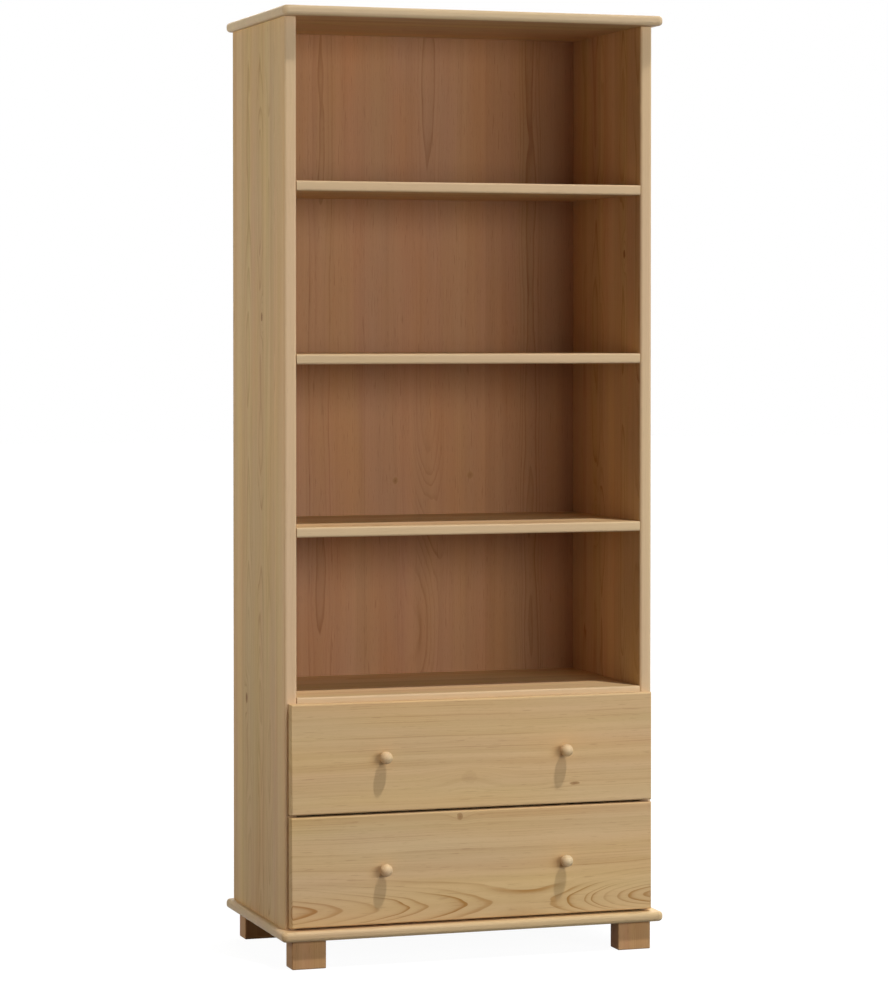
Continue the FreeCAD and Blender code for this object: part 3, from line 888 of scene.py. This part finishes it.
def knob_profile():
    """(radius, height) from the foot to the crown, with the crown at height zero."""
    widest = KNOB_RISE - KNOB_BALL
    outline = [(0.0, 0.0)]
    for i in range(NECK_STEPS + 1):
        share = i / NECK_STEPS
        neck = (KNOB_FOOT * (1 - share) * (1 - 2 * share) + 4 * KNOB_WAIST * share * (1 - share)
                + KNOB_COLLAR * share * (2 * share - 1))
        outline.append((neck, share * KNOB_NECK))
    rise, out = widest - KNOB_NECK, KNOB_BALL - KNOB_COLLAR
    swell = (rise ** 2 + out ** 2) / (2 * out)
    start = math.atan2(rise, swell - out)
    for i in range(1, SWELL_STEPS + 1):
        angle = start * (1 - i / SWELL_STEPS)
        outline.append((KNOB_BALL - swell * (1 - math.cos(angle)),
                        widest - swell * math.sin(angle)))
    for i in range(1, BALL_STEPS + 1):
        angle = math.pi / 2 * i / BALL_STEPS
        outline.append((KNOB_BALL * math.cos(angle), widest + KNOB_BALL * math.sin(angle)))
    return [(max(radius, 0.0), rise - KNOB_RISE) for radius, rise in outline]


knob_wood = board_finish("pine knobs", (0.0, 0.0, 0.0), "yxz", 91.0, stain=RAW, stave=0.5,
                         contrast=0.5, gloss=0.3)
for level in LEVELS:
    knobs = [f"{level}_drawer_knob_{side}" for side in ("left", "right")]
    places = []
    for node in knobs:
        middle = centre_of(node)
        places.append(((middle.x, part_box(node)[0].y, middle.z), (0, -1, 0)))
    piece = set_out(f"{level}_knobs_turned", places, knob_profile(), knob_wood,
                    TURNED_SEGMENTS)
    stand_for(piece, f"{level}_drawer", "stained_pine", *knobs)

# %% [markdown]
# ## Nylon rollers
#
# A runner's roller is moulded: a rim that rolls, a thinner web and a hub on the pin. The
# profile closes on itself, so the same turning tree leaves the bore open. Moulded nylon is
# slightly translucent, with a faint mottle and patches of grime.

# %% Rollers and nylon
def nylon_finish():
    material, wire, shader = principled("roller nylon")
    place = wire.place()
    mottle = wire.noise(place, scale=260.0, detail=3.0)
    grime = wire.step(wire.noise(place, scale=90.0, detail=2.0), 0.45, 0.75, 0.0, 0.5)
    pale = wire.blend(mottle, linear(238, 236, 226), linear(224, 222, 210))
    surface(wire, shader, wire.blend(grime, pale, linear(196, 192, 178)),
            wire.scaled(mottle, 0.2, 0.34), mottle, 0.2, 0.0002)
    shader.inputs["Subsurface Weight"].default_value = 0.12
    shader.inputs["Subsurface Scale"].default_value = 0.002
    return material


ROLLER_PROFILE = [(0.00305, -0.0030), (0.0048, -0.0030), (0.0052, -0.0022), (0.0080, -0.0022),
                  (0.0084, -0.0030), (0.0095, -0.0030), (0.0101, -0.0024)]
ROLLER_PROFILE += [(radius, -rise) for radius, rise in reversed(ROLLER_PROFILE)]
ROLLER_PROFILE += ROLLER_PROFILE[:1]
nylon = nylon_finish()
for level in LEVELS:
    for body, stem in ((f"{level}_front_rollers", f"{level}_front_roller_"),
                       (f"{level}_rear_rollers", f"{level}_drawer_rear_roller_")):
        rollers = [stem + side for side in ("left", "right")]
        places = [(centre_of(node), (1, 0, 0)) for node in rollers]
        piece = set_out(f"{body}_moulded", places, ROLLER_PROFILE, nylon, TURNED_SEGMENTS)
        stand_for(piece, body, "roller_nylon", *rollers)

# %% [markdown]
# ## Where the screws sit
#
# Each row of screws arrives as one node that holds several separate solids. A merged copy
# of its mesh is split into its islands, and each island tells where its screw sits, which
# way it was driven, and how thick its shank and head are.

# %% Reading screws from their nodes
SLACK = 1e-5            # how far a point may lie off a circle or an axis and still be on it
HEAD_SHARE = 0.15       # deeper than this share of its length, a screw is all shank
HEAD_OVER_SHANK = 1.15  # wider than this many times its shank, a screw is all head


def islands(node):
    """The separate solids of a node, each as an array of its points."""
    shape = bmesh.new()
    shape.from_mesh(nodes[node].data)
    bmesh.ops.remove_doubles(shape, verts=shape.verts, dist=WELD)
    found, seen = [], set()
    for start in shape.verts:
        if start in seen:
            continue
        seen.add(start)
        queue, points = [start], []
        while queue:
            vertex = queue.pop()
            points.append(tuple(vertex.co))
            for edge in vertex.link_edges:
                other = edge.other_vert(vertex)
                if other not in seen:
                    seen.add(other)
                    queue.append(other)
        found.append(np.array(points))
    shape.free()
    return found


def read_screw(points):
    """A screw's place (top of the head, outward direction) and its sizes."""
    low, high = points.min(axis=0), points.max(axis=0)
    axis = int(np.argmax(high - low))
    centre = (low + high) / 2
    radius = np.linalg.norm(np.delete(points - centre, axis, axis=1), axis=1)
    widest = points[radius > radius.max() - SLACK][:, axis].mean()
    sign = 1 if widest > centre[axis] else -1
    top = high[axis] if sign > 0 else low[axis]
    depth = (top - points[:, axis]) * sign
    length = high[axis] - low[axis]
    shank = radius[(depth > length * HEAD_SHARE) & (radius > SLACK)].max()
    rise = depth[radius > shank * HEAD_OVER_SHANK].max()
    centre[axis] = top
    outward = np.zeros(3)
    outward[axis] = sign
    return (tuple(centre), tuple(outward)), {
        "head": float(radius.max()), "rise": float(rise), "shank": float(shank),
        "length": float(length)}


print("a base screw:", read_screw(islands("base_screws")[0])[1])

# %% [markdown]
# ## Screws and nails
#
# Three kinds of fastener are set out with the same tree: flat-headed nails, domed screws and
# countersunk screws. The two screws get a cross for the driver. Zinc plate is bright with a
# faint blue and yellow tint, and the nails are bare drawn steel.

# %% Zinc and bare steel
def zinc_finish():
    material, wire, shader = principled("zinc plate")
    place = wire.place()
    tint = wire.noise(place, scale=420.0, detail=2.0)
    scuffs = wire.noise(place, scale=1500.0, detail=4.0, roughness=0.7)
    surface(wire, shader, wire.blend(tint, linear(206, 208, 210), linear(214, 206, 182)),
            wire.scaled(scuffs, 0.25, 0.18), scuffs, 0.15, 0.0001)
    shader.inputs["Metallic"].default_value = 1.0
    return material


def nail_finish():
    material, wire, shader = principled("drawn nail steel")
    scale = wire.noise(wire.place(), scale=900.0, detail=4.0, roughness=0.6)
    rust = wire.step(scale, 0.56, 0.70, 0.0, 0.6)
    surface(wire, shader, wire.blend(rust, linear(142, 140, 138), linear(112, 84, 62)),
            wire.scaled(scale, 0.4, 0.25))
    shader.inputs["Metallic"].default_value = 1.0
    return material


zinc, drawn_steel = zinc_finish(), nail_finish()
print("metals:", zinc.name, "and", drawn_steel.name)

# %% Fasteners set out
CROSS_REACH = 1.15      # the length of a driver's cross, as a share of the head's radius
NAIL_SEGMENTS, SCREW_SEGMENTS = 12, 20


def pan_profile(head, rise, shank, length):
    return [(0.0, -length), (shank * 0.35, -length * 0.96), (shank * 0.9, -length * 0.8),
            (shank, -length * 0.7), (shank, -rise), (head, -rise), (head, -rise * 0.45),
            (head * 0.94, -rise * 0.2), (head * 0.78, -rise * 0.05), (head * 0.5, 0.0),
            (0.0, 0.0)]


def countersunk_profile(head, rise, shank, length):
    return [(0.0, -length), (shank * 0.4, -length * 0.97), (shank, -length * 0.88),
            (shank, -rise), (head, -0.0002), (head * 0.985, 0.0), (0.0, 0.0)]


def nail_profile(head, rise, shank, length):
    return [(0.0, -length), (shank, -length + shank * 2.5), (shank, -rise), (head, -rise),
            (head, -rise * 0.3), (head * 0.85, 0.0), (0.0, 0.0)]


ROWS = [("back_nails", "root", nail_profile, 0.0),
        ("base_screws", "root", countersunk_profile, 0.4),
        ("foot_screws", "root", countersunk_profile, 0.4),
        ("runner_screws", "root", pan_profile, 0.5)]
ROWS += [(f"{level}_drawer_{row}", f"{level}_drawer", pan_profile, 0.5)
         for level in LEVELS for row in ("knob_screws", "front_screws", "slide_screws")]
for seed, (node, body, profile, cross_share) in enumerate(ROWS, 1):
    places, sizes = zip(*(read_screw(points) for points in islands(node)))
    size = sizes[0]
    nailed = profile is nail_profile
    piece = set_out(f"{node}_driven", places, profile(**size),
                    drawn_steel if nailed else zinc,
                    segments=NAIL_SEGMENTS if nailed else SCREW_SEGMENTS,
                    cross=(size["head"] * CROSS_REACH, size["head"] * cross_share), seed=seed)
    stand_for(piece, body, "nail_steel" if nailed else "zinc_plated_steel", node)

# %% [markdown]
# ## Coated steel runners
#
# The runners are folded sheet under an off-white powder coat. Powder flows into a fine
# orange peel, and the nylon wheels polish and grey it along the way they run.

# %% Powder coat
def coat_finish():
    material, wire, shader = principled("powder coat")
    place = wire.place()
    peel = wire.noise(place, scale=750.0, detail=2.0)
    drawn = wire.noise(wire.stretched(wire.parts(place), (300.0, 5.0, 300.0)), detail=4.0,
                       roughness=0.65)
    worn = wire.step(drawn, 0.52, 0.74, 0.0, 0.45)
    base = wire.blend(peel, linear(233, 231, 222), linear(222, 220, 210))
    surface(wire, shader, wire.blend(worn, base, linear(176, 174, 166)),
            wire.scaled(worn, 0.25, 0.34), peel, 0.25, 0.0002)
    return material


powder_coat = coat_finish()
runners = [name for name in nodes if "_runner_" in name or "_slide_left" in name
           or "_slide_right" in name]
for name in runners:
    dress(name, powder_coat)
print("powder coat on", len(runners), "runners")

# %% [markdown]
# ## Dowels
#
# The dowels are beech and hide in the joints. Beech has no strong rings, only short dark
# rays, which two stretched noises give.

# %% Beech
def beech_finish():
    material, wire, shader = principled("beech dowels")
    place = wire.place()
    rays = wire.step(wire.noise(wire.stretched(wire.parts(place), (160.0, 900.0, 900.0)),
                                detail=1.0), 0.58, 0.70)
    cloud = wire.noise(place, scale=60.0, detail=2.0)
    pale = wire.blend(cloud, linear(220, 188, 148), linear(206, 170, 128))
    surface(wire, shader, wire.blend(wire.times(rays, 0.6), pale, linear(160, 116, 78)),
            wire.scaled(cloud, 0.2, 0.5))
    return material


beech = beech_finish()
dowels = [name for name in nodes if name.endswith("dowels")]
for name in dowels:
    dress(name, beech)
print("beech on", len(dowels), "rows of dowels")

# %% [markdown]
# ## Floor, light and camera
#
# The bookcase stands on a plain pale floor in a plain studio. A soft sun from high in front
# gives the knobs their shadows, a broad window low in front on the right reaches into the
# compartments, and a near one fills in. Two faint ones, cool from the right and warm from
# the left, shade the compartments from one side to the other, and three more light the
# sides and the back. The sky is dim for everything but the camera and reflections, so the
# compartments stay as deep as they are.

# %% Floor
FLOOR_HALF, FLOOR_DROP = 30.0, 0.0002
FLOOR_GLOW = 0.955      # with what the lamps add, the floor then shows white


def eye_rays(wire):
    """1 for what the camera sees, also in reflections and through glass, and 0 for light."""
    rays = wire.node("ShaderNodeLightPath").outputs
    return wire.math("MAXIMUM", rays["Is Camera Ray"], wire.math(
        "MAXIMUM", rays["Is Glossy Ray"], rays["Is Transmission Ray"]))


def floor_material():
    material, wire, shader = principled("pale floor")
    wire.fill(shader.inputs, {"Base Color": (0.05, 0.05, 0.05, 1.0), "Roughness": 0.9})
    seen = wire.node("ShaderNodeBsdfDiffuse", {"Color": (0.10, 0.10, 0.10, 1.0)})
    glow = wire.node("ShaderNodeEmission", {"Color": (1.0, 1.0, 1.0, 1.0),
                                            "Strength": FLOOR_GLOW})
    both = wire.node("ShaderNodeAddShader", {0: seen.outputs[0], 1: glow.outputs[0]})
    mixed = wire.node("ShaderNodeMixShader", {0: eye_rays(wire), 1: shader.outputs[0],
                                              2: both.outputs[0]})
    wire.fill(material.node_tree.nodes["Material Output"].inputs,
              {"Surface": mixed.outputs[0]})
    return material


sheet = bmesh.new()
bmesh.ops.create_grid(sheet, x_segments=1, y_segments=1, size=FLOOR_HALF)
floor_mesh = bpy.data.meshes.new("floor")
sheet.to_mesh(floor_mesh)
sheet.free()
floor_mesh.materials.append(floor_material())
floor_mesh.transform(Matrix.Translation((0.0, 0.0, -FLOOR_DROP)))
floor = add_object("floor", floor_mesh)
print("floor:", 2 * FLOOR_HALF, "m square")

# %% Sky and lamps
def studio_world(strength):
    world = bpy.data.worlds.new("studio")
    world.use_nodes = True
    wire = Wiring(world.node_tree)
    wire.fill(world.node_tree.nodes["Background"].inputs, {
        "Color": (1.0, 1.0, 1.0, 1.0),
        "Strength": wire.scaled(eye_rays(wire), 1.0 - strength, strength)})
    bpy.context.scene.world = world


def soft_sun(name, azimuth, elevation, spread, strength):
    """An even light from far away: the shadows are as soft as its spread in degrees."""
    light = bpy.data.lights.new(name, "SUN")
    light.angle = math.radians(spread)
    light.energy = strength
    held = add_object(name, light)
    held.rotation_euler = (math.radians(90.0 - elevation), 0.0, math.radians(azimuth))


def window(name, target, distance, azimuth, elevation, size, power, colour=(1.0, 1.0, 1.0)):
    """A soft lamp that looks at a target. Azimuth 0 is in front, and 90 is on the right."""
    light = bpy.data.lights.new(name, "AREA")
    light.shape = "RECTANGLE"
    light.size, light.size_y = size
    light.energy = power
    light.color = colour
    turn, rise = math.radians(azimuth), math.radians(elevation)
    away = Vector((math.sin(turn) * math.cos(rise), -math.cos(turn) * math.cos(rise),
                   math.sin(rise)))
    held = add_object(name, light)
    held.location = Vector(target) + away * distance
    held.rotation_euler = away.to_track_quat("Z", "Y").to_euler()
    print(name, "stands at", [round(value, 2) for value in held.location])


SKY_LIGHT = 0.01
MIDDLE = (0.0, -0.1, 0.95)
studio_world(SKY_LIGHT)
soft_sun("key", 25.0, 67.0, 3.0, 2.0)
window("front window", MIDDLE, 8.5, 18.0, 6.5, (4.6, 1.8), 73.0, (0.95, 1.0, 1.04))
window("near window", (0.0, -0.1, 1.5), 4.5, 18.0, 2.0, (2.6, 1.6), 76.0, (1.02, 1.0, 0.94))
window("cool window", MIDDLE, 8.5, 42.0, 6.5, (3.0, 1.8), 80.0, (0.68, 1.0, 1.49))
window("warm window", MIDDLE, 8.5, -68.0, 4.0, (3.0, 1.8), 41.0, (1.49, 1.0, 0.79))
window("left window", (-0.4, 0.0, 1.4), 2.4, -97.0, 4.0, (1.2, 1.2), 28.0, (0.95, 1.0, 0.96))
window("right window", (0.4, 0.0, 1.0), 7.0, 105.0, 34.0, (4.5, 4.5), 250.0)
window("rear window", (0.0, 0.2, 1.0), 7.0, 160.0, 34.0, (4.5, 4.5), 300.0)
bpy.context.scene.view_settings.view_transform = "Standard"

# %% [markdown]
# The camera stands at chest height in front and to the left, and looks down a little. A
# long lens keeps the uprights nearly parallel, and a small shift puts the bookcase in the
# middle of the frame without tilting the camera further.

# %% Camera
CAMERA_PLACE = Vector((-2.1994, -6.6343, 1.2654))
CAMERA_YAW, CAMERA_PITCH = 18.342, 1.2142
FOCAL_LENGTH_PX, LENS_AXIS_PX, FRAME_HEIGHT_PX = 3408.5, 400.0, 1000.0
SENSOR = 36.0

view = bpy.data.cameras.new("camera")
view.sensor_fit = "AUTO"
view.sensor_width = SENSOR
view.lens = FOCAL_LENGTH_PX / FRAME_HEIGHT_PX * SENSOR
view.shift_y = -(FRAME_HEIGHT_PX / 2 - LENS_AXIS_PX) / FRAME_HEIGHT_PX
camera = add_object("camera", view)
camera.location = CAMERA_PLACE
camera.rotation_euler = (math.radians(90.0 - CAMERA_PITCH), 0.0, math.radians(-CAMERA_YAW))
bpy.context.scene.camera = camera
print("lens:", round(view.lens, 1), "mm, shift:", round(view.shift_y, 3))
